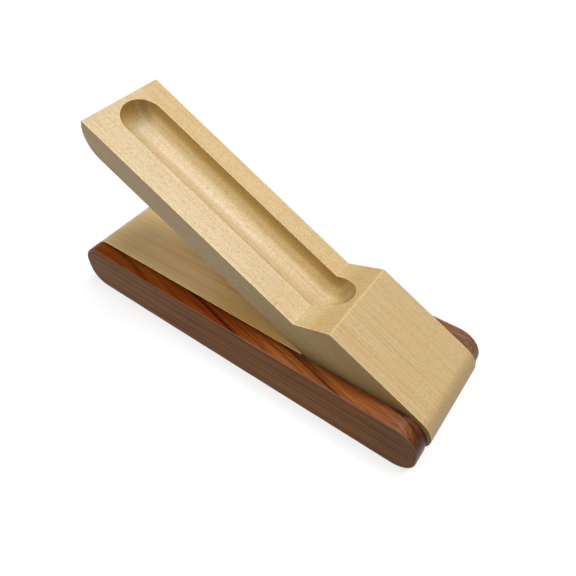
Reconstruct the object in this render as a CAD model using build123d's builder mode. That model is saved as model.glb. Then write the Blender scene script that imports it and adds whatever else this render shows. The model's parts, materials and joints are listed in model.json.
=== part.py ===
from build123d import *
from math import cos, radians, sin
import os

# A pocket holder for toothpicks, in two woods.  Two dark rails and a pale cover plate are glued
# into a body that is open below, and a pale arm with a long trough turns on a hidden pin between
# the rails.  Closed, the arm lies under the plate, flush with the rails.  The model shows it open:
# the arm has been swung the long way round and leans back on the end of the plate.
#
# Millimetres.  +X runs along the rails towards the pin, +Y to the rear rail, +Z up.  The origin is
# the middle of the rails' underside.

# Body
length = 104.2              # rails, end to end
width = 31.8                # across both rails
height = 14.2               # rails, and the whole holder when it is closed
rail_thickness = 4.45
plate_thickness = 7.1
nose_radius = 6.6           # upper half of the blunt end
nose_under_radius = 5.2     # lower half of the blunt end
heel_radius = 6.3           # rails' upper corner at the pin
heel_under_radius = 5.2     # rails' lower corner at the pin
rail_edge = 0.5             # rounding of the rails' outer edges
inner_edge = 0.15           # broken corners where a rail meets the plate and the arm
plate_edge = 0.2
ridge_gap = 0.2             # between the plate's end and the arm's ridge, when closed

# Arm, measured as it lies when closed
arm_length = 101.9
arm_inset = 2.25            # the arm's tip starts this far inside the rails' blunt end
side_gap = 0.15             # between the arm and each rail
plate_gap = 0.2             # between the arm and the plate, when closed
ridge_from_tip = 70.2       # where the thick heel of the arm begins, at its top
shoulder_run = 6.5          # length of the slope from the thin bar up to the heel
tip_radius = 6.4
arm_heel_radius = 5.8
arm_heel_under_radius = 6.0
arm_edge = 0.15

# Trough, cut with a ball-nosed cutter
trough_radius = 5.3
trough_length = 67.6         # a standard toothpick is 65 long
trough_from_tip = 1.55
trough_offset = 0.7         # the trough lies a little nearer the rear rail

# Pin
pin_radius = 1.5
pin_from_tip = 97.75
pin_depth = 3.2             # how far the pin goes into each rail
pin_hole_gap = 0.1          # left at the bottom of each blind hole
bore_gap = 0.05             # radial, between the pin and the arm
pin_chamfer = 0.3

lean_angle = 29.0           # slope of the open arm, where it rests on the plate

inner_width = width - 2 * rail_thickness
blunt_x = -length / 2
heel_x = length / 2
plate_z = height - plate_thickness
bar_thickness = plate_z - plate_gap
heel_rise = height - bar_thickness
arm_width = inner_width - 2 * side_gap
tip_x = blunt_x + arm_inset
ridge_x = tip_x + ridge_from_tip
pin_x = tip_x + pin_from_tip
pin_z = height / 2

# The arm's plane stands upright along the holder, with its origin on the pin.  Its x runs from
# the arm's tip to its heel and its y from the arm's underside to its top.
lean = radians(lean_angle)
arm_x_dir = Vector(cos(lean), 0, -sin(lean))
arm_up = Vector(sin(lean), 0, cos(lean))
arm_plane = Plane(origin=(pin_x, 0, pin_z), x_dir=arm_x_dir, z_dir=(0, -1, 0))


def side_outline(left, right, bottom, top):
    """A closed outline seen from the front, left to right and bottom to top."""
    Polyline((left, bottom), (right, bottom), (right, top), (left, top), close=True)


def corner(sketch, x, y):
    """The sketch's corner nearest to a point of its own plane."""
    return sketch.vertices().sort_by_distance((x, y, 0))[0]


def rail_blank(face_y, outward):
    """One rail from its inner face to its outer face, with its rounded ends and pin hole."""
    inner_plane = Plane(origin=(0, face_y, 0), x_dir=(1, 0, 0), z_dir=(0, -1, 0))
    into_rail = -outward * rail_thickness
    with BuildPart() as rail:
        with BuildSketch(inner_plane) as side:
            with BuildLine():
                side_outline(blunt_x, heel_x, 0, height)
            make_face()
            fillet(corner(side, blunt_x, height), nose_radius)
            fillet(corner(side, blunt_x, 0), nose_under_radius)
            fillet(corner(side, heel_x, height), heel_radius)
            fillet(corner(side, heel_x, 0), heel_under_radius)
        extrude(amount=into_rail)
        faces_by_y = rail.faces().filter_by(Axis.Y).sort_by(Axis.Y)
        outer_face = faces_by_y[-1] if outward > 0 else faces_by_y[0]
        inner_face = faces_by_y[0] if outward > 0 else faces_by_y[-1]
        fillet(outer_face.edges(), rail_edge)
        chamfer(inner_face.edges(), inner_edge)
        with BuildSketch(inner_plane):
            with Locations((pin_x, pin_z)):
                Circle(pin_radius)
        extrude(amount=-outward * (pin_depth + pin_hole_gap), mode=Mode.SUBTRACT)
    return rail


# Rails
front_rail = rail_blank(-inner_width / 2, -1)
front_rail.part.label = "front_rail"

rear_rail = rail_blank(inner_width / 2, 1)
rear_rail.part.label = "rear_rail"

# Cover plate: the upper half of the blunt end, and a bevel that the arm's shoulder closes on
plate_top_x = ridge_x - ridge_gap
plate_under_x = plate_top_x - shoulder_run * plate_thickness / heel_rise
with BuildPart() as cover_plate:
    with BuildSketch(Plane.XZ) as plate_side:
        with BuildLine():
            Polyline(
                (blunt_x, 0), (plate_under_x, 0), (plate_under_x, plate_z),
                (plate_top_x, height), (blunt_x, height), close=True,
            )
        make_face()
        fillet(corner(plate_side, blunt_x, height), nose_radius)
        fillet(corner(plate_side, blunt_x, 0), nose_under_radius)
        with Locations((0, plate_z / 2)):
            Rectangle(2 * length, plate_z, mode=Mode.SUBTRACT)
    extrude(amount=inner_width / 2, both=True)
    top_face = cover_plate.faces().sort_by(Axis.Z)[-1]
    chamfer(top_face.edges().filter_by(Axis.Y).sort_by(Axis.X)[-1], plate_edge)
cover_plate.part.label = "cover_plate"

# Tray arm
tip_u = -pin_from_tip
ridge_u = tip_u + ridge_from_tip
shoulder_u = ridge_u - shoulder_run
heel_u = tip_u + arm_length
under_v = -pin_z
bar_v = under_v + bar_thickness
top_v = under_v + height
trough_centre_u = tip_u + trough_from_tip + trough_length / 2
trough_origin = arm_plane.from_local_coords(Vector(trough_centre_u, bar_v, -trough_offset))
trough_plane = Plane(origin=trough_origin, x_dir=arm_x_dir, z_dir=arm_up)
with BuildPart() as tray_arm:
    with BuildSketch(arm_plane) as arm_side:
        with BuildLine():
            Polyline(
                (tip_u, under_v), (heel_u, under_v), (heel_u, top_v), (ridge_u, top_v),
                (shoulder_u, bar_v), (tip_u, bar_v), close=True,
            )
        make_face()
        fillet(corner(arm_side, tip_u, under_v), tip_radius)
        fillet(corner(arm_side, heel_u, top_v), arm_heel_radius)
        fillet(corner(arm_side, heel_u, under_v), arm_heel_under_radius)
    extrude(amount=arm_width / 2, both=True)
    chamfer(tray_arm.faces().filter_by(Axis.Y).edges(), arm_edge)
    with BuildSketch(arm_plane):
        Circle(pin_radius + bore_gap)
    extrude(amount=arm_width, both=True, mode=Mode.SUBTRACT)
    with BuildSketch(trough_plane):
        SlotOverall(trough_length, 2 * trough_radius)
    extrude(amount=heel_rise, mode=Mode.SUBTRACT)
    with BuildSketch(trough_plane) as half_slot:
        SlotOverall(trough_length, 2 * trough_radius)
        split(bisect_by=Plane.XZ)
    revolve(axis=Axis(trough_origin, arm_x_dir), mode=Mode.SUBTRACT)
tray_arm.part.label = "tray_arm"

# Pivot pin
with BuildPart() as pivot_pin:
    with BuildSketch(Plane.XZ):
        with Locations((pin_x, pin_z)):
            Circle(pin_radius)
    extrude(amount=inner_width / 2 + pin_depth, both=True)
    chamfer(pivot_pin.edges().filter_by(GeomType.CIRCLE), pin_chamfer)
pivot_pin.part.label = "pivot_pin"

os.makedirs("parts", exist_ok=True)
export_step(front_rail.part, "parts/front_rail.step")
export_step(rear_rail.part, "parts/rear_rail.step")
export_step(cover_plate.part, "parts/cover_plate.step")
export_step(tray_arm.part, "parts/tray_arm.step")
export_step(pivot_pin.part, "parts/pivot_pin.step")
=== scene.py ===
"""Looks for the wooden pick holder: two rosewood rails, a maple cover plate and a maple arm with a trough.

Each wooden piece is rebuilt with sanded edges and cutter marks in the place of its CAD node, and
is made of one solid procedural wood, so long grain, edge grain and end grain agree on every face.
Lengths are in millimetres and are turned into metres where a mesh is made.  The floor's, the
lights' and the camera's own lengths are in metres, except the camera's place.
"""

import json
from math import ceil, cos, pi, radians, sin, tan

import bmesh
import bpy
from mathutils import Matrix, Vector, noise


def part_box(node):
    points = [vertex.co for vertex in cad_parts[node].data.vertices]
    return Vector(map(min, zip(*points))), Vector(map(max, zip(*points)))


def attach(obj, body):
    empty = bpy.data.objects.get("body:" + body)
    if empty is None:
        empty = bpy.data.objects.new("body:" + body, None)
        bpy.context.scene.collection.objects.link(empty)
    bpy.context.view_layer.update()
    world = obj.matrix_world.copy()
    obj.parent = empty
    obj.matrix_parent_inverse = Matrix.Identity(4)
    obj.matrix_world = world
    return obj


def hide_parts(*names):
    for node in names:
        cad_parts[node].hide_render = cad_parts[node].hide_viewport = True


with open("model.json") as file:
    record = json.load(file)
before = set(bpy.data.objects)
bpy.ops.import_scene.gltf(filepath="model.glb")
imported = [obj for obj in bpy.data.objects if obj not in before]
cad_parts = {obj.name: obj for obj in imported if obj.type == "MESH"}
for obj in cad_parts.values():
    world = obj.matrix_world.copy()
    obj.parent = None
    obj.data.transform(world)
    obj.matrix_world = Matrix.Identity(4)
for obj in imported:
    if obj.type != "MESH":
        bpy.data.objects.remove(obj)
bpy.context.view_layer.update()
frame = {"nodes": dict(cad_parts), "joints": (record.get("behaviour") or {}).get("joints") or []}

MM = 0.001
TURN = 2 * pi

# ---------------------------------------------------------------------------------------------
# Sizes, in millimetres.  What the CAD boxes and the joint say is read from them.
# ---------------------------------------------------------------------------------------------


def box_mm(node):
    """The two corners of a CAD node's box."""
    low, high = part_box(node)
    return low / MM, high / MM


RAIL_LOW, RAIL_HIGH = box_mm("front_rail")
REAR_LOW, REAR_HIGH = box_mm("rear_rail")
PLATE_LOW, PLATE_HIGH = box_mm("cover_plate")
ARM_LOW, ARM_HIGH = box_mm("tray_arm")
PIN_LOW, PIN_HIGH = box_mm("pivot_pin")
HINGE = frame["joints"][0]
PIN = Vector(HINGE["pos_m"]) / MM
LEAN = radians(360 - HINGE["range_deg"][1])     # slope of the open arm

BLUNT_X, HEEL_X = RAIL_LOW.x, RAIL_HIGH.x
HEIGHT = RAIL_HIGH.z
PLATE_UNDER = PLATE_LOW.z

NOSE_RADIUS = 6.6
NOSE_UNDER_RADIUS = 5.2
HEEL_RADIUS = 6.3
HEEL_UNDER_RADIUS = 5.2
PLATE_END_GAP = 0.2         # between the plate's end and the arm's ridge, when closed

ARM_LENGTH = 101.9
PIN_FROM_TIP = 97.75
RIDGE_FROM_TIP = 70.2
SHOULDER_RUN = 6.5
BAR_THICKNESS = 6.9
TIP_RADIUS = 6.4
ARM_HEEL_RADIUS = 5.8
ARM_HEEL_UNDER_RADIUS = 6.0

TROUGH_RADIUS = 5.3
TROUGH_LENGTH = 67.6
TROUGH_FROM_TIP = 1.55
TROUGH_OFFSET = 0.7         # towards the rear rail

BORE_GAP = 0.05             # between the pin and the arm
PIN_HOLE_GAP = 0.1          # left at the bottom of each blind hole

# Sanded edges
RAIL_EDGE = 0.5             # outer edges, halfway along
RAIL_NOSE_EXTRA = 0.35      # the blunt end is sanded softer
JOINT_EDGE = 0.12           # where a rail, the plate and the arm meet
ARM_EDGE = 0.15
CREASE = 0.25               # the arm's ridge and tip
PLATE_CREASE = 0.1          # the plate's end, where the open arm rests

# Marks of the ball-nosed cutter
FEED_MARK = 1.05            # from one mark to the next, along the trough
FEED_DEPTH = 0.010
FEED_FADE = 4.0             # the marks die away this near the trough's ends

OVERRUN = 1.0               # how far a cutter runs on past a face
DRILL_SIDES = 48

# ---------------------------------------------------------------------------------------------
# Meshes
# ---------------------------------------------------------------------------------------------


def rounded_outline(corners, spacing=1.5, arc_step=radians(6)):
    """Points round a closed outline, anticlockwise, from corners given as (x, z, radius)."""
    points = []
    count = len(corners)
    for i, (x, z, radius) in enumerate(corners):
        here = Vector((x, z))
        back = (Vector(corners[i - 1][:2]) - here).normalized()
        ahead = (Vector(corners[(i + 1) % count][:2]) - here).normalized()
        if radius == 0:
            points.append(here)
            continue
        half = back.angle(ahead) / 2
        start = here + back * (radius / tan(half))
        centre = here + (back + ahead).normalized() * (radius / sin(half))
        turn = pi - 2 * half if ahead.cross(back) > 0 else 2 * half - pi
        steps = max(2, ceil(abs(turn) / arc_step))
        spoke = start - centre
        for k in range(steps + 1):
            points.append(centre + Matrix.Rotation(turn * k / steps, 2) @ spoke)
    filled = []
    for i, point in enumerate(points):
        following = points[(i + 1) % len(points)]
        steps = max(1, ceil((following - point).length / spacing))
        filled += [point.lerp(following, k / steps) for k in range(steps)]
    return filled


def inward(outline):
    """For each point of an anticlockwise outline, the step that moves both its edges in by 1."""
    steps = []
    for i, point in enumerate(outline):
        before = (point - outline[i - 1]).normalized()
        after = (outline[(i + 1) % len(outline)] - point).normalized()
        n1, n2 = Vector((-before.y, before.x)), Vector((-after.y, after.x))
        steps.append((n1 + n2) / (1 + n1.dot(n2)))
    return steps


def edge_rings(radius_at, outline, steps=4):
    """Rings of a rounded edge, from its flat cap outwards: (depth, inset) for each point."""
    radii = [radius_at(point) for point in outline]
    rings = []
    for k in range(steps + 1):
        angle = pi / 2 * (1 - k / steps)
        rings.append([(r * (1 - sin(angle)), r * (1 - cos(angle))) for r in radii])
    return rings


def slab(name, outline, near_y, far_y, near_radius, far_radius, place):
    """A flat board with this outline between two y values, each with its own edge rounding."""
    inwards = inward(outline)
    near = edge_rings(near_radius, outline)
    far = edge_rings(far_radius, outline)
    rows = [[(near_y + depth, inset) for depth, inset in ring] for ring in near]
    rows += [[(far_y - depth, inset) for depth, inset in ring] for ring in reversed(far)]
    bm = bmesh.new()
    loops = []
    for row in rows:
        loop = []
        for point, step, (y, inset) in zip(outline, inwards, row):
            moved = point + step * inset
            loop.append(bm.verts.new(place(moved.x, y, moved.y) * MM))
        loops.append(loop)
    size = len(outline)
    for lower, upper in zip(loops, loops[1:]):
        for i in range(size):
            j = (i + 1) % size
            bm.faces.new((lower[i], upper[i], upper[j], lower[j]))
    bm.faces.new(loops[0])
    bm.faces.new(reversed(loops[-1]))
    bmesh.ops.recalc_face_normals(bm, faces=bm.faces)
    return mesh_object(name, bm)


def mesh_object(name, bm):
    """An object in the scene, made of the built mesh, which is freed."""
    mesh = bpy.data.meshes.new(name)
    bm.to_mesh(mesh)
    bm.free()
    piece = bpy.data.objects.new(name, mesh)
    bpy.context.scene.collection.objects.link(piece)
    return piece


def smooth(piece, sharp_angle=radians(32)):
    """Smooth shading that keeps flat faces flat beside their narrow rounded edges."""
    piece.data.polygons.foreach_set("use_smooth", [True] * len(piece.data.polygons))
    piece.data.set_sharp_from_angle(angle=sharp_angle)
    weighted = piece.modifiers.new("flat faces", "WEIGHTED_NORMAL")
    weighted.keep_sharp = True
    weighted.weight = 90


def finish_piece(piece, body, node, material):
    """Gives a piece its material, its body and the CAD node that it replaces."""
    piece.data.materials.clear()
    piece.data.materials.append(material)
    smooth(piece)
    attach(piece, body)
    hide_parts(node)


def cut(piece, cutters):
    """The piece with each cutter's shape taken away."""
    for cutter in cutters:
        taken = piece.modifiers.new(cutter.name, "BOOLEAN")
        taken.operation = "DIFFERENCE"
        taken.solver = "EXACT"
        taken.object = cutter
    evaluated = piece.evaluated_get(bpy.context.evaluated_depsgraph_get())
    mesh = bpy.data.meshes.new_from_object(evaluated)
    piece.modifiers.clear()
    piece.data = mesh
    for cutter in cutters:
        bpy.data.objects.remove(cutter)
    return piece


def pin_drill(near_y, far_y, gap):
    """A round cutter on the pin's axis, wider than the pin by the gap all round."""
    radius = (PIN_HIGH.x - PIN_LOW.x) / 2 + gap
    bm = bmesh.new()
    rings = []
    for y in (near_y, far_y):
        ring = []
        for k in range(DRILL_SIDES):
            spoke = Matrix.Rotation(TURN * k / DRILL_SIDES, 2) @ Vector((radius, 0))
            ring.append(bm.verts.new(Vector((PIN.x + spoke.x, y, PIN.z + spoke.y)) * MM))
        rings.append(ring)
    for k in range(DRILL_SIDES):
        bm.faces.new((rings[0][k - 1], rings[0][k], rings[1][k], rings[1][k - 1]))
    bm.faces.new(rings[0])
    bm.faces.new(rings[1])
    bmesh.ops.recalc_face_normals(bm, faces=bm.faces)
    return mesh_object("pin_drill", bm)


def in_body(x, y, z):
    """A point of the body, which needs no turning."""
    return Vector((x, y, z))


ARM_TURN = Matrix.Rotation(LEAN, 3, "Y")


def in_arm(x, y, z):
    """A point of the closed arm, measured from the pin, at its place when the arm is open."""
    return PIN + ARM_TURN @ Vector((x, y, z))


def worn(radius, seed, share=0.3, wave=9.0):
    """An edge radius that hand sanding has left a little uneven along the edge."""
    def radius_at(point):
        return radius * (1 + share * noise.noise(Vector((point.x / wave, point.y / wave, seed))))
    return radius_at


def rail(name, inner_y, outer_y, seed):
    """One rail: a bar with blunt round ends, softly sanded outside and crisp inside."""
    outline = rounded_outline([
        (BLUNT_X, 0, NOSE_UNDER_RADIUS), (HEEL_X, 0, HEEL_UNDER_RADIUS),
        (HEEL_X, HEIGHT, HEEL_RADIUS), (BLUNT_X, HEIGHT, NOSE_RADIUS),
    ])
    even = worn(RAIL_EDGE, seed)

    def outer_radius(point):
        from_nose = (point.x - BLUNT_X) / (HEEL_X - BLUNT_X)
        return even(point) + RAIL_NOSE_EXTRA * max(0.0, 1 - 3 * from_nose)

    inner_radius = worn(JOINT_EDGE, seed + 5)
    if outer_y < inner_y:
        bar = slab(name, outline, outer_y, inner_y, outer_radius, inner_radius, in_body)
        return cut(bar, [pin_drill(PIN_LOW.y - PIN_HOLE_GAP, inner_y + OVERRUN, 0)])
    bar = slab(name, outline, inner_y, outer_y, inner_radius, outer_radius, in_body)
    return cut(bar, [pin_drill(inner_y - OVERRUN, PIN_HIGH.y + PIN_HOLE_GAP, 0)])


def plate(name):
    """The cover plate: the top half of the blunt end, and a bevel for the arm's shoulder."""
    top_x = PIN.x - PIN_FROM_TIP + RIDGE_FROM_TIP - PLATE_END_GAP
    under_x = top_x - SHOULDER_RUN * (HEIGHT - PLATE_UNDER) / (HEIGHT - BAR_THICKNESS)
    outline = rounded_outline([
        (BLUNT_X, PLATE_UNDER, 0), (under_x, PLATE_UNDER, PLATE_CREASE),
        (top_x, HEIGHT, PLATE_CREASE), (BLUNT_X, HEIGHT, NOSE_RADIUS),
    ])
    edge = worn(PLATE_CREASE, 3.0)
    return slab(name, outline, PLATE_LOW.y, PLATE_HIGH.y, edge, edge, in_body)


def trough_cutter():
    """What the ball-nosed cutter took away: a round-ended slot with a round bottom."""
    first = -PIN_FROM_TIP + TROUGH_FROM_TIP + TROUGH_RADIUS
    last = first + TROUGH_LENGTH - 2 * TROUGH_RADIUS
    floor_level = BAR_THICKNESS - HEIGHT / 2
    straight_steps = ceil((last - first) / (FEED_MARK / 6))
    arc_steps, depth_steps = 28, 14
    stations = []
    for side, start, end in ((-1, first, last), (1, last, first)):
        for k in range(straight_steps):
            stations.append((start + (end - start) * k / straight_steps, side * pi / 2))
        for k in range(arc_steps):
            stations.append((end, side * pi / 2 + pi * k / arc_steps))
    bm = bmesh.new()

    def ring(level, shrink):
        verts = []
        for u, heading in stations:
            from_end = min(u - first, last - u)
            fade = min(1.0, max(0.0, from_end / FEED_FADE))
            mark = FEED_DEPTH * fade * cos(TURN * (u - first) / FEED_MARK)
            reach = (TROUGH_RADIUS + mark) * shrink
            out = Vector((cos(heading), sin(heading)))
            z = floor_level + level * (1 + mark / TROUGH_RADIUS)
            verts.append(bm.verts.new(in_arm(u + reach * out.x, TROUGH_OFFSET + reach * out.y, z) * MM))
        return verts

    rings = [ring(HEIGHT - BAR_THICKNESS + OVERRUN, 1.0)]
    for k in range(depth_steps + 1):
        dip = pi / 2 * k / depth_steps
        rings.append(ring(-TROUGH_RADIUS * sin(dip), cos(dip)))
    for upper, lower in zip(rings, rings[1:]):
        for i in range(len(stations)):
            j = (i + 1) % len(stations)
            bm.faces.new((upper[i], lower[i], lower[j], upper[j]))
    bm.faces.new(rings[0])
    bmesh.ops.remove_doubles(bm, verts=rings[-1], dist=1e-7)
    bmesh.ops.dissolve_degenerate(bm, dist=1e-8, edges=bm.edges)
    bmesh.ops.recalc_face_normals(bm, faces=bm.faces)
    return mesh_object("trough_cutter", bm)


def tray_arm(name):
    """The arm: a thin bar with the trough, and a heel as thick as the rails, round at the pin."""
    tip, heel = -PIN_FROM_TIP, ARM_LENGTH - PIN_FROM_TIP
    ridge = tip + RIDGE_FROM_TIP
    under, top = -HEIGHT / 2, HEIGHT / 2
    bar = under + BAR_THICKNESS
    outline = rounded_outline([
        (tip, under, TIP_RADIUS), (heel, under, ARM_HEEL_UNDER_RADIUS),
        (heel, top, ARM_HEEL_RADIUS), (ridge, top, CREASE),
        (ridge - SHOULDER_RUN, bar, 0), (tip, bar, CREASE),
    ], spacing=6.0)
    edge = worn(ARM_EDGE, 7.0)
    arm = slab(name, outline, ARM_LOW.y, ARM_HIGH.y, edge, edge, in_arm)
    bore = pin_drill(ARM_LOW.y - OVERRUN, ARM_HIGH.y + OVERRUN, BORE_GAP)
    return cut(arm, [trough_cutter(), bore])


# ---------------------------------------------------------------------------------------------
# Materials.  Wood is solid: its patterns are set out in millimetres along the grain (x), and from
# rings about the tree's pith (y and z), so each face shows the cut that it makes through them.
# ---------------------------------------------------------------------------------------------


def new_material(name):
    """A material with its node tree and its Principled shader."""
    material = bpy.data.materials.new(name)
    material.use_nodes = True
    return material, material.node_tree, material.node_tree.nodes["Principled BSDF"]


def add(tree, kind, inputs=None, **settings):
    """A node with these settings.  Each input is a number, a vector or another node's socket."""
    node = tree.nodes.new(kind)
    for key, value in settings.items():
        setattr(node, key, value)
    for key, value in (inputs or {}).items():
        if isinstance(value, bpy.types.NodeSocket):
            tree.links.new(value, node.inputs[key])
        else:
            node.inputs[key].default_value = value
    return node


def maths(tree, operation, a, b=0.0, c=0.0):
    """The result of a sum on numbers or sockets."""
    return add(tree, "ShaderNodeMath", {0: a, 1: b, 2: c}, operation=operation).outputs[0]


def vectors(tree, operation, a, b=(0, 0, 0)):
    """The result of a sum on vectors or sockets: a vector, or a number where the sum gives one."""
    node = add(tree, "ShaderNodeVectorMath", {0: a, 1: b}, operation=operation)
    return node.outputs["Value" if operation in ("LENGTH", "DOT_PRODUCT") else "Vector"]


def spread(tree, value, low, high, to_low=0.0, to_high=1.0):
    """The value taken smoothly from one range to another, and held at its ends."""
    inputs = {"Value": value, "From Min": low, "From Max": high, "To Min": to_low, "To Max": to_high}
    return add(tree, "ShaderNodeMapRange", inputs, interpolation_type="SMOOTHSTEP").outputs[0]


def noise_in(tree, space, cell, seed, detail=2.0, roughness=0.5):
    """Smooth noise whose cells measure cell = (x, y, z) millimetres."""
    scaled = vectors(tree, "DIVIDE", space, cell)
    inputs = {"Vector": scaled, "W": seed, "Scale": 1.0, "Detail": detail, "Roughness": roughness}
    return add(tree, "ShaderNodeTexNoise", inputs, noise_dimensions="4D").outputs["Fac"]


def blended(tree, amount, first, second, blend_type="MIX"):
    """The first colour turning to the second, as far as the amount says."""
    inputs = {0: amount}
    for index, color in ((6, first), (7, second)):
        inputs[index] = color if isinstance(color, bpy.types.NodeSocket) else (*color, 1)
    return add(tree, "ShaderNodeMix", inputs, data_type="RGBA", blend_type=blend_type).outputs[2]


def toned(tree, color, amount, tone):
    """The colour multiplied by the tone, as far as the amount says."""
    return blended(tree, amount, color, tone, "MULTIPLY")


def set_surface(tree, shader, color, roughness, relief, relief_height=MM, strength=0.8):
    """Sends a colour, a roughness and a relief of this height to the shader."""
    bump = add(tree, "ShaderNodeBump", {"Height": relief, "Distance": relief_height, "Strength": strength})
    tree.links.new(color, shader.inputs["Base Color"])
    tree.links.new(roughness, shader.inputs["Roughness"])
    tree.links.new(bump.outputs[0], shader.inputs["Normal"])


def grain_space(tree, origin, slope, skew=0.0):
    """Millimetres along and across the grain, and how far a face cuts across it (0 to 1)."""
    seat = add(tree, "ShaderNodeTexCoord")
    inputs = {"Vector": seat.outputs["Object"], "Location": origin * MM,
              "Rotation": (0, slope, skew), "Scale": (MM, MM, MM)}
    space = add(tree, "ShaderNodeMapping", inputs, vector_type="TEXTURE").outputs[0]
    return space, facing(tree, Matrix.Rotation(slope, 3, "Y") @ Vector((1, 0, 0)))


def facing(tree, way):
    """How squarely the surface faces along this direction, either way: 0 to 1."""
    normal = add(tree, "ShaderNodeTexCoord").outputs["Normal"]
    return maths(tree, "ABSOLUTE", vectors(tree, "DOT_PRODUCT", normal, way))


def sharp_edge_mask(tree, radius):
    """Near 1 on a sharp edge and 0 on flat ground."""
    bevel = add(tree, "ShaderNodeBevel", {"Radius": radius * MM}, samples=6)
    flat = add(tree, "ShaderNodeNewGeometry").outputs["Normal"]
    turned = vectors(tree, "DOT_PRODUCT", bevel.outputs[0], flat)
    return spread(tree, turned, 0.995, 0.90)


def long_edges(tree, low, high):
    """Near 1 on the rounded edges beside the faces that look along y, between these turns."""
    turned = facing(tree, (0, 1, 0))
    inner = spread(tree, turned, low, low + 0.2)
    return maths(tree, "SUBTRACT", inner, spread(tree, turned, high - 0.15, high))


def growth_rings(tree, space, pith, width, seed):
    """Position within a growth ring, 0 to 1.  Rings are this wide 20 mm out, and closer beyond."""
    drift = noise_in(tree, space, (55, 9, 9), seed, detail=2)
    sway = maths(tree, "MULTIPLY_ADD", drift, 2.4, -1.2)
    centred = vectors(tree, "SUBTRACT", space, (0, *pith))
    radial = vectors(tree, "LENGTH", vectors(tree, "MULTIPLY", centred, (0, 1, 1)))
    reference, crowding = 20.0, 1.5
    out = maths(tree, "DIVIDE", maths(tree, "ADD", radial, sway), reference)
    crowded = maths(tree, "POWER", out, crowding)
    count = maths(tree, "MULTIPLY", crowded, reference / (crowding * width))
    return maths(tree, "FRACT", count)


def maple(name, origin, slope, pith, ring_width, seed, pale, heart_color, heart_from, heart_to,
          rings, flecked, side, banding):
    """Pale hard maple, turning to its heart colour from one height to another.

    It has close rings, fine fibres, short flecks and a few dark pores, painted shade on the faces
    that look sideways, and painted highlights along its edges.
    """
    material, tree, shader = new_material(name)
    space, cross_cut = grain_space(tree, origin, slope)
    along, across, height = add(tree, "ShaderNodeSeparateXYZ", {0: space}).outputs
    sideways = spread(tree, facing(tree, (0, 1, 0)), 0.75, 0.97)

    ring = growth_rings(tree, space, pith, ring_width, seed)
    late_wood = maths(tree, "SUBTRACT", spread(tree, ring, 0.35, 0.85), spread(tree, ring, 0.92, 1.0))
    fibres = noise_in(tree, space, (9, 0.24, 0.24), seed + 1, detail=2, roughness=0.6)
    flecks = noise_in(tree, space, (0.55, 0.26, 0.26), seed + 2, detail=1, roughness=0.6)
    bands = noise_in(tree, space, (120, 1.3, 2.2), seed + 3, detail=2)
    clouds = noise_in(tree, space, (14, 6, 6), seed + 4, detail=3)
    mottle = noise_in(tree, space, (1.5, 0.9, 0.9), seed + 6, detail=2)
    pores = noise_in(tree, space, (2.2, 0.17, 0.17), seed + 5, detail=1)
    veins = noise_in(tree, space, (60, 0.34, 0.34), seed + 7, detail=1)

    ragged = maths(tree, "MULTIPLY_ADD", clouds, 4.0, height)
    heart = spread(tree, ragged, heart_from + 2, heart_to + 2)
    on_face = maths(tree, "MULTIPLY_ADD", heart, rings, 0.08)
    ring_depth = maths(tree, "MULTIPLY_ADD", spread(tree, cross_cut, 0.4, 0.8), 0.22, on_face)
    plain = maths(tree, "MULTIPLY_ADD", maths(tree, "MAXIMUM", heart, sideways), -0.45, 1.0)
    short_grain = maths(tree, "MULTIPLY", plain, flecked)

    def short(value, low, high):
        return maths(tree, "MULTIPLY", spread(tree, value, low, high), short_grain)

    color = blended(tree, heart, pale, heart_color)
    warm_edge = maths(tree, "MULTIPLY", spread(tree, across, 3, 9), maths(tree, "SUBTRACT", 1.0, heart))
    color = toned(tree, color, warm_edge, (0.98, 0.92, 0.80))
    color = toned(tree, color, maths(tree, "MULTIPLY", late_wood, ring_depth), (0.84, 0.74, 0.60))
    color = toned(tree, color, spread(tree, fibres, 0.48, 0.75), (0.91, 0.85, 0.75))
    color = toned(tree, color, short(flecks, 0.50, 0.70), (0.83, 0.76, 0.66))
    color = toned(tree, color, short(flecks, 0.50, 0.30), (1.09, 1.10, 1.14))
    color = toned(tree, color, short(mottle, 0.50, 0.72), (1.02, 0.93, 0.80))
    color = toned(tree, color, short(mottle, 0.48, 0.28), (0.95, 1.0, 0.90))
    color = toned(tree, color, spread(tree, bands, 0.46, 0.70), banding)
    color = toned(tree, color, spread(tree, clouds, 0.50, 0.75), (1.02, 0.95, 0.87))
    color = toned(tree, color, spread(tree, clouds, 0.46, 0.25), (0.98, 1.0, 0.95))
    color = toned(tree, color, spread(tree, veins, 0.56, 0.70), (0.92, 0.86, 0.77))
    color = toned(tree, color, spread(tree, pores, 0.76, 0.81), (0.62, 0.52, 0.40))
    color = toned(tree, color, spread(tree, cross_cut, 0.45, 0.80), (0.95, 0.98, 0.96))
    # painted shade: faces that look sideways are darkened by the side tone
    color = toned(tree, color, sideways, side)
    # painted highlight: sharp edges are lightened, except beside the faces that look sideways
    edge_highlight = maths(tree, "MULTIPLY", sharp_edge_mask(tree, 0.5), maths(tree, "SUBTRACT", 1.0, sideways))
    color = toned(tree, color, edge_highlight, (1.22, 1.16, 1.02))
    # painted highlight along the rounded long edges of the outer sides
    outside = spread(tree, maths(tree, "ABSOLUTE", across), ARM_HIGH.y - 0.35, ARM_HIGH.y - 0.15)
    long_edge_highlight = maths(tree, "MULTIPLY", long_edges(tree, 0.10, 0.85), outside)
    color = toned(tree, color, long_edge_highlight, (1.30, 1.30, 1.30))

    relief = maths(tree, "MULTIPLY_ADD", fibres, -0.020, maths(tree, "MULTIPLY", flecks, -0.012))
    relief = maths(tree, "MULTIPLY_ADD", spread(tree, pores, 0.74, 0.82), -0.03, relief)
    set_surface(tree, shader, color, spread(tree, mottle, 0.25, 0.75, 0.38, 0.50), relief)
    shader.inputs["IOR"].default_value = 1.5
    return material, tree, shader


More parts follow.
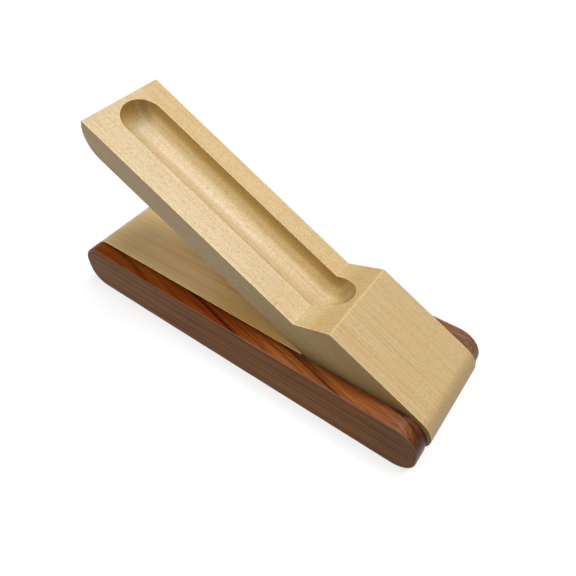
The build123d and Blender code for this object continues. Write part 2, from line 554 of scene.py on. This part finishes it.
def paint_arm_light_and_shade(tree, shader):
    """Painted light and shade on the arm's own places: the trough's walls and ends, the ridge and the
    heel.
    """
    seat = add(tree, "ShaderNodeTexCoord")
    space, _ = grain_space(tree, PIN, LEAN)
    along, across, height = add(tree, "ShaderNodeSeparateXYZ", {0: space}).outputs
    length_way = ARM_TURN @ Vector((1, 0, 0))
    trough_middle = -PIN_FROM_TIP + TROUGH_FROM_TIP + TROUGH_LENGTH / 2
    shoulder = RIDGE_FROM_TIP - PIN_FROM_TIP
    steep = (HEIGHT - BAR_THICKNESS) / SHOULDER_RUN
    slope = maths(tree, "MULTIPLY_ADD", along, steep, HEIGHT / 2 - shoulder * steep - 0.15)
    level = maths(tree, "MAXIMUM", slope, BAR_THICKNESS - HEIGHT / 2 + 0.1)

    def turned_to(way):
        return vectors(tree, "DOT_PRODUCT", seat.outputs["Normal"], way)

    def within(value, middle, reach):
        gap = maths(tree, "ABSOLUTE", maths(tree, "SUBTRACT", value, middle))
        return maths(tree, "LESS_THAN", gap, reach + 0.05)

    inside = maths(tree, "MULTIPLY", within(across, TROUGH_OFFSET, TROUGH_RADIUS),
                   within(along, trough_middle, TROUGH_LENGTH / 2))
    hollow = maths(tree, "MULTIPLY", maths(tree, "LESS_THAN", height, level),
                   maths(tree, "GREATER_THAN", turned_to(ARM_TURN @ Vector((0, 0, 1))), -0.05))
    inside = maths(tree, "MULTIPLY", inside, hollow)

    def facing_part(way, low, high):
        return maths(tree, "MULTIPLY", spread(tree, turned_to(way), low, high), inside)

    far_wall, near_wall = Vector((0, -1, 0)), Vector((0, 1, 0))     # the way that each wall looks

    color = shader.inputs["Base Color"].links[0].from_socket
    # painted light and shade: the far wall is darkened a little, then lightened near the rim; the near
    # wall is lightened
    color = toned(tree, color, facing_part(far_wall, 0.45, 0.70), (0.95, 0.92, 0.80))
    color = toned(tree, color, facing_part(far_wall, 0.72, 1.0), (1.75, 1.72, 1.40))
    color = toned(tree, color, facing_part(near_wall, 0.5, 0.9), (1.14, 1.15, 1.17))
    # painted highlight: a band low on the far wall is lightened
    highlight_band = maths(tree, "SUBTRACT", facing_part(far_wall, 0.28, 0.42),
                     facing_part(far_wall, 0.48, 0.62))
    color = toned(tree, color, highlight_band, (1.08, 1.12, 1.18))
    # painted shade on the trough's two end walls
    color = toned(tree, color, facing_part(length_way, 0.35, 1.0), (1.0, 0.80, 0.36))
    color = toned(tree, color, facing_part(-length_way, 0.25, 0.75), (1.0, 0.97, 0.86))
    # painted shade in the trough near the shoulder
    shade_near_shoulder = maths(tree, "MULTIPLY", spread(tree, along, -40, -31), inside)
    color = toned(tree, color, shade_near_shoulder, (0.84, 0.81, 0.74))
    # painted shade on the heel
    color = toned(tree, color, spread(tree, along, -1.8, 1.4), (0.79, 0.77, 0.72))
    from_ridge = maths(tree, "ABSOLUTE", maths(tree, "SUBTRACT", along, shoulder))
    on_top = maths(tree, "GREATER_THAN", height, HEIGHT / 2 - 0.4)
    # painted highlight along the ridge
    ridge_highlight = maths(tree, "MULTIPLY", spread(tree, from_ridge, 0.35, 0.15), on_top)
    color = toned(tree, color, ridge_highlight, (1.18, 1.16, 1.12))
    tree.links.new(color, shader.inputs["Base Color"])
    polish = shader.inputs["Roughness"].links[0].from_socket
    dull = spread(tree, along, -58, -36, 0.0, 0.12)
    tree.links.new(maths(tree, "ADD", polish, dull), shader.inputs["Roughness"])


def paint_plate_light_and_shade(tree, shader):
    """Painted light and shade on the plate: painted light along the near rail, and a painted shadow where
    the open arm shades it.
    """
    seat = add(tree, "ShaderNodeTexCoord").outputs["Object"]
    x, y, _ = add(tree, "ShaderNodeSeparateXYZ", {0: seat}).outputs
    color = shader.inputs["Base Color"].links[0].from_socket
    # painted shadow of the open arm: darker towards +x
    color = toned(tree, color, spread(tree, x, -18 * MM, 4 * MM), (0.78, 0.70, 0.50))
    # painted light along the near rail
    color = toned(tree, color, spread(tree, y, -9.0 * MM, -10.8 * MM), (1.10, 1.12, 1.12))
    tree.links.new(color, shader.inputs["Base Color"])


def rosewood(name, seed, skew, figure_at, deep, light, end, side):
    """Red-brown rosewood, with open pores and, on its top, dark figure that runs at the skew angle.

    It turns from the deep colour to the light one towards the pin; this is partly the wood's own
    colour and partly painted light, and it has painted shade where the open arm shades its top.
    Its ends have a tone of their own; its sides, where the streaks run straight, carry painted
    shade and a painted purplish sheen, its rounded long edges a painted sheen, and its heel end
    painted shade and a pinkish sheen.
    """
    material, tree, shader = new_material(name)
    space, cross_cut = grain_space(tree, Vector((0, 0, 0)), 0.0)
    leaning, _ = grain_space(tree, Vector((figure_at, 0, 0)), 0.0, skew)
    along, across, _ = add(tree, "ShaderNodeSeparateXYZ", {0: space}).outputs

    wander = noise_in(tree, space, (16, 5, 5), seed, detail=3)
    depth = add(tree, "ShaderNodeSeparateXYZ", {0: leaning}).outputs["Y"]
    turns = maths(tree, "MULTIPLY_ADD", wander, 0.25, maths(tree, "DIVIDE", depth, 6.5))
    from_band = maths(tree, "ABSOLUTE", maths(tree, "SUBTRACT", maths(tree, "FRACT", turns), 0.5))
    on_side = spread(tree, facing(tree, (0, 1, 0)), 0.6, 0.95)
    leaning_streaks = noise_in(tree, leaning, (24, 0.50, 0.7), seed + 1, detail=3, roughness=0.6)
    long_streaks = noise_in(tree, space, (60, 1.0, 0.45), seed + 6, detail=3, roughness=0.6)
    change = maths(tree, "SUBTRACT", long_streaks, leaning_streaks)
    streaks = maths(tree, "MULTIPLY_ADD", on_side, change, leaning_streaks)
    fine = noise_in(tree, space, (7, 0.24, 0.30), seed + 2, detail=2, roughness=0.6)
    pores = noise_in(tree, space, (2.6, 0.20, 0.20), seed + 3, detail=1)
    glow = noise_in(tree, space, (18, 5, 5), seed + 4, detail=2)
    ribbons = noise_in(tree, space, (90, 3.0, 1.1), seed + 5, detail=3, roughness=0.6)
    lighter = spread(tree, maths(tree, "MULTIPLY_ADD", glow, 50.0, along), 5.0, 50.0)

    flat_cut = spread(tree, facing(tree, (0, 0, 1)), 0.3, 0.8)
    faded = maths(tree, "MULTIPLY", spread(tree, streaks, 0.30, 0.60, 0.45, 1.0), flat_cut)
    figure = maths(tree, "MULTIPLY", spread(tree, from_band, 0.15, 0.01), faded)
    joint_shade = maths(tree, "MULTIPLY", spread(tree, maths(tree, "ABSOLUTE", across), 12.9, 11.6), flat_cut)
    # partly painted light: lighter towards the pin, away from the open arm's shade
    color = blended(tree, lighter, deep, light)
    color = toned(tree, color, spread(tree, streaks, 0.45, 0.65), (0.66, 0.54, 0.46))
    color = toned(tree, color, spread(tree, streaks, 0.47, 0.33), (1.16, 1.20, 1.40))
    color = toned(tree, color, spread(tree, fine, 0.48, 0.75), (0.58, 0.48, 0.42))
    color = toned(tree, color, spread(tree, fine, 0.45, 0.25), (1.20, 1.25, 1.40))
    color = toned(tree, color, spread(tree, ribbons, 0.45, 0.65), (0.84, 0.78, 0.76))
    color = toned(tree, color, figure, (0.42, 0.30, 0.26))
    # painted shade along the rail's inner edge, beside the plate
    color = toned(tree, color, joint_shade, (0.62, 0.55, 0.50))
    # painted shade and a painted pinkish sheen towards the heel end
    color = toned(tree, color, spread(tree, along, 34, 49), (0.78, 0.86, 1.75))
    # painted shade: darker and redder where the open arm shades the rail, less on the sides
    under_arm_shade = maths(tree, "SUBTRACT", spread(tree, along, -28, -14), spread(tree, along, 2, 14))
    under_arm_shade = maths(tree, "MULTIPLY", under_arm_shade, maths(tree, "MULTIPLY_ADD", on_side, -0.6, 1.0))
    color = toned(tree, color, under_arm_shade, (0.86, 0.60, 0.40))
    color = toned(tree, color, spread(tree, pores, 0.68, 0.76), (0.35, 0.30, 0.28))
    color = toned(tree, color, spread(tree, cross_cut, 0.40, 0.9), end)
    # painted shade on the sides
    color = toned(tree, color, on_side, side)
    # painted purplish sheen on the sides, more towards the pin
    color = toned(tree, color, maths(tree, "MULTIPLY", on_side, lighter), (1.0, 0.84, 1.1))
    # painted sheen: the rounded long edges turn greyish
    edge_sheen = maths(tree, "MULTIPLY", long_edges(tree, 0.20, 0.95), 0.65)
    color = blended(tree, edge_sheen, color, (0.125, 0.085, 0.066))

    relief = maths(tree, "MULTIPLY", fine, -0.02)
    relief = maths(tree, "MULTIPLY_ADD", spread(tree, pores, 0.66, 0.76), -0.05, relief)
    set_surface(tree, shader, color, spread(tree, streaks, 0.3, 0.7, 0.34, 0.46), relief)
    duller_side = maths(tree, "MULTIPLY_ADD", on_side, -0.13, 0.25)
    tree.links.new(duller_side, shader.inputs["Specular IOR Level"])
    shader.inputs["IOR"].default_value = 1.30
    return material


def turned_steel(name):
    """The pin: turned steel, with fine rings round its axis (y)."""
    material, tree, shader = new_material(name)
    space, _ = grain_space(tree, PIN, 0.0)
    turning = noise_in(tree, space, (40, 0.06, 40), 3.0, detail=2)
    stain = noise_in(tree, space, (1.5, 2.5, 1.5), 5.0, detail=3)
    color = blended(tree, spread(tree, stain, 0.35, 0.7), (0.58, 0.57, 0.55), (0.42, 0.41, 0.40))
    roughness = spread(tree, turning, 0.3, 0.7, 0.24, 0.38)
    set_surface(tree, shader, color, roughness, turning, 0.004 * MM, 1.0)
    shader.inputs["Metallic"].default_value = 1.0
    return material


# In each maple, side is the painted shade of the faces that look sideways.
ARM_MAPLE, arm_tree, arm_shader = maple(
    "arm_maple", PIN, LEAN, pith=(-20, 15), ring_width=0.85, seed=4.0,
    pale=(0.57, 0.44, 0.25), heart_color=(0.505, 0.365, 0.180), heart_from=0.5, heart_to=5.0,
    rings=0.20, flecked=1.0, side=(0.51, 0.455, 0.345), banding=(0.97, 0.95, 0.90))
paint_arm_light_and_shade(arm_tree, arm_shader)
PLATE_MAPLE, plate_tree, plate_shader = maple(
    "plate_maple", Vector((0, 0, 0)), 0.0, pith=(60, -30), ring_width=1.5, seed=11.0,
    pale=(0.62, 0.455, 0.235), heart_color=(0.60, 0.43, 0.215), heart_from=8, heart_to=14,
    rings=0.06, flecked=0.35, side=(0.50, 0.47, 0.36), banding=(0.82, 0.78, 0.72))
paint_plate_light_and_shade(plate_tree, plate_shader)

# The last colour given to each rosewood is the painted shade of its sides.
finish_piece(rail("near_rail", RAIL_HIGH.y, RAIL_LOW.y, 1.0), "body", "front_rail",
             rosewood("near_rosewood", 2.0, radians(-13), -45.4,
                      (0.225, 0.058, 0.0045), (0.250, 0.080, 0.013), (0.42, 0.32, 0.24),
                      (0.66, 0.94, 0.52)))
finish_piece(rail("far_rail", REAR_LOW.y, REAR_HIGH.y, 2.0), "body", "rear_rail",
             rosewood("far_rosewood", 21.0, radians(8), -12,
                      (0.235, 0.070, 0.009), (0.270, 0.122, 0.036), (0.95, 0.95, 0.75),
                      (0.62, 0.66, 0.45)))
finish_piece(plate("plate"), "body", "cover_plate", PLATE_MAPLE)
finish_piece(tray_arm("arm"), "arm", "tray_arm", ARM_MAPLE)
for steel_slot in frame["nodes"]["pivot_pin"].material_slots:
    steel_slot.material = turned_steel("pin_steel")

# ---------------------------------------------------------------------------------------------
# Floor, lights and camera
# ---------------------------------------------------------------------------------------------


LIGHT_DISTANCE = 1.3
FLOOR_HALF = 3.0
FLOOR_GLOW = 0.68
CAMERA_PLACE = Vector((61.95, -67.80, 113.09)) * MM
CAMERA_RIGHT = Vector((0.8060, 0.5910, -0.0347))
CAMERA_FORWARD = Vector((-0.4201, 0.5297, -0.7369))
LENS, SENSOR = 33.24, 36.0


def studio_floor():
    """A plain pale floor, which glows except under the middle of the object."""
    bm = bmesh.new()
    corners = [Vector((x, y, 0)) * FLOOR_HALF for x, y in ((-1, -1), (1, -1), (1, 1), (-1, 1))]
    bm.faces.new([bm.verts.new(corner) for corner in corners])
    floor = mesh_object("studio_floor", bm)
    paper, tree, shader = new_material("floor")
    shader.inputs["Base Color"].default_value = (0.30, 0.30, 0.30, 1)
    shader.inputs["Roughness"].default_value = 0.8
    shader.inputs["Emission Color"].default_value = (1, 1, 1, 1)
    seat = add(tree, "ShaderNodeTexCoord").outputs["Object"]
    x, y, _ = add(tree, "ShaderNodeSeparateXYZ", {0: seat}).outputs
    beyond_sides = spread(tree, maths(tree, "ABSOLUTE", y), 13 * MM, 15.5 * MM)
    beyond_ends = spread(tree, maths(tree, "ABSOLUTE", x), 46 * MM, 51 * MM)
    glow = maths(tree, "MULTIPLY", maths(tree, "MAXIMUM", beyond_sides, beyond_ends), FLOOR_GLOW)
    tree.links.new(glow, shader.inputs["Emission Strength"])
    floor.data.materials.append(paper)


def area_light(name, tilt, bearing, size, power, color=(1, 1, 1)):
    """A soft box over the object: tilted away from overhead, towards a bearing from +x."""
    data = bpy.data.lights.new(name, "AREA")
    data.shape = "RECTANGLE"
    data.size, data.size_y = size
    data.energy = power
    data.color = color
    aim = Vector((0, 0, 0.02))
    away = Matrix.Rotation(radians(bearing), 3, "Z") @ Matrix.Rotation(radians(tilt), 3, "Y")
    light = bpy.data.objects.new(name, data)
    light.matrix_world = Matrix.Translation(aim + away @ Vector((0, 0, LIGHT_DISTANCE))) @ away.to_4x4()
    bpy.context.scene.collection.objects.link(light)


def world_light(color, strength):
    """Even light from all round."""
    world = bpy.data.worlds.new("studio")
    world.use_nodes = True
    background = world.node_tree.nodes["Background"]
    background.inputs["Color"].default_value = (*color, 1)
    background.inputs["Strength"].default_value = strength
    bpy.context.scene.world = world


def camera():
    """The camera, set by its place and by its right and forward directions."""
    data = bpy.data.cameras.new("camera")
    data.lens = LENS
    data.sensor_width = SENSOR
    data.clip_start = 0.005
    data.clip_end = 20
    view = bpy.data.objects.new("camera", data)
    back = -CAMERA_FORWARD.normalized()
    right = (CAMERA_RIGHT - back * CAMERA_RIGHT.dot(back)).normalized()
    up = back.cross(right)
    view.matrix_world = Matrix.Translation(CAMERA_PLACE) @ Matrix((right, up, back)).transposed().to_4x4()
    bpy.context.scene.collection.objects.link(view)
    bpy.context.scene.camera = view


studio_floor()
area_light("key", tilt=20, bearing=38, size=(0.6, 0.6), power=16.5)
area_light("fill", tilt=34, bearing=235, size=(0.7, 0.7), power=10.0)
world_light((1, 1, 1), 0.05)
camera()
bpy.context.scene.view_settings.view_transform = "Standard"
